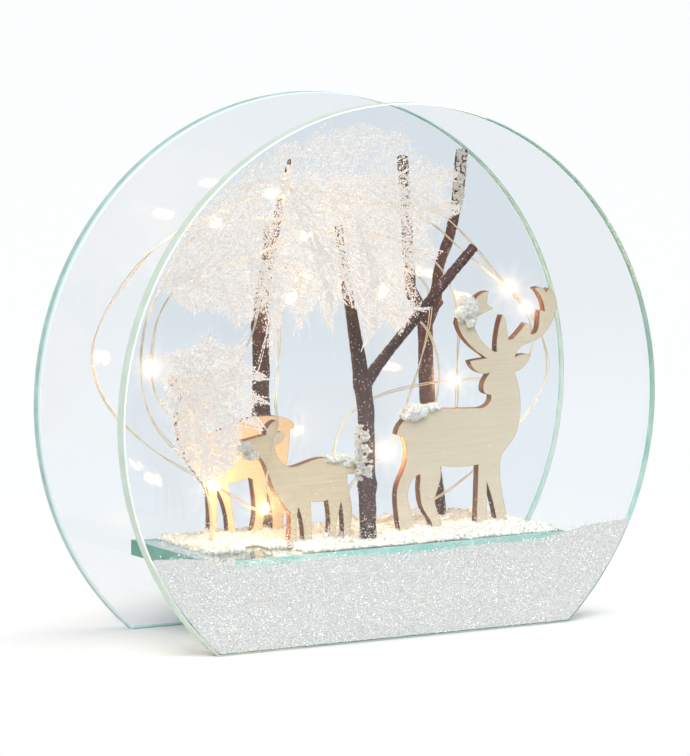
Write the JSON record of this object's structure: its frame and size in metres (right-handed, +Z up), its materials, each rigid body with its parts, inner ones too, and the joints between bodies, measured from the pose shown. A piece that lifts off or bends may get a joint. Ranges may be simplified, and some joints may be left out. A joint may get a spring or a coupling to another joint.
{
  "type": "lighted winter scene globe",
  "caption": "Flat-sided snow globe: two round glass panes on flat feet hold a glass shelf with plywood deer, twigs, snow and a string of warm battery lights.",
  "frame": {"origin": "middle of the footprint, at table level", "axes": "+X along the panes to the viewer's right, +Y through the panes to the back, +Z up"},
  "size_m": [0.2, 0.0642, 0.175],
  "materials": {
    "pane_glass": "polished float glass, green at the cut edges",
    "shelf_glass": "polished float glass with a turquoise cut edge",
    "clear_glue": "clear glue",
    "white_glitter": "white glitter paint, coarse sparkle",
    "white_frost": "sprayed frost flecks",
    "plywood": "laser-cut birch plywood, edges burnt dark brown",
    "bark": "rough dark red-brown bark",
    "snow": "artificial snow, rough",
    "copper_wire": "clear-lacquered copper",
    "lamp_resin": "clear resin, lit warm white",
    "case_plastic": "fine satin moulding",
    "cell_sleeve": "plain printed sleeve with metal ends",
    "nickel_plate": "bright nickel plate",
    "black_plastic": "satin",
    "board_green": "solder mask",
    "resistor_ceramic": "lacquered",
    "grommet_rubber": "soft translucent white",
    "foam": "white foam tape"
  },
  "bodies": {
    "root": {"front_glass_disc": "pane_glass", "rear_glass_disc": "pane_glass", "glass_shelf": "shelf_glass", "front_glue_line": "clear_glue", "rear_glue_line": "clear_glue", "front_glitter_band": "white_glitter", "frost_spray_upper": "white_frost", "frost_spray_lower": "white_frost", "stag": "plywood", "fawn": "plywood", "doe": "plywood", "left_twig": "bark", "middle_twig": "bark", "right_twig": "bark", "figure_glue": "clear_glue", "twig_glue": "clear_glue", "snow_bed": "snow", "snow_on_antler": "snow", "snow_on_stag_back": "snow", "snow_on_fawn_back": "snow", "snow_under_fawn_chin": "snow", "snow_on_middle_twig": "snow", "snow_on_left_twig": "snow", "snow_on_right_twig": "snow", "light_wire": "copper_wire", "led_bead_01": "lamp_resin", "led_bead_02": "lamp_resin", "led_bead_03": "lamp_resin", "led_bead_04": "lamp_resin", "led_bead_05": "lamp_resin", "led_bead_06": "lamp_resin", "led_bead_07": "lamp_resin", "led_bead_08": "lamp_resin", "led_bead_09": "lamp_resin", "led_bead_10": "lamp_resin", "led_bead_11": "lamp_resin", "led_bead_12": "lamp_resin", "battery_case": "case_plastic", "battery_cell_1": "cell_sleeve", "battery_cell_2": "cell_sleeve", "battery_cell_3": "cell_sleeve", "contact_plate_left": "nickel_plate", "contact_bridge_left": "nickel_plate", "contact_bridge_right": "nickel_plate", "contact_plate_right": "nickel_plate", "contact_springs": "nickel_plate", "switch_housing": "black_plastic", "circuit_board": "board_green", "series_resistor": "resistor_ceramic", "wire_grommet": "grommet_rubber", "foam_tape_left": "foam", "foam_tape_right": "foam"},
    "door": {"battery_door": "case_plastic"},
    "switch": {"switch_knob": "black_plastic"}
  },
  "joints": [
    {"name": "door_slide", "type": "slide", "parent": "root", "child": "door", "axis": [1, 0, 0], "range_m": [0, 0.062]},
    {"name": "switch_slide", "type": "slide", "parent": "root", "child": "switch", "axis": [0, 1, 0], "range_m": [0, 0.0025]}
  ]
}
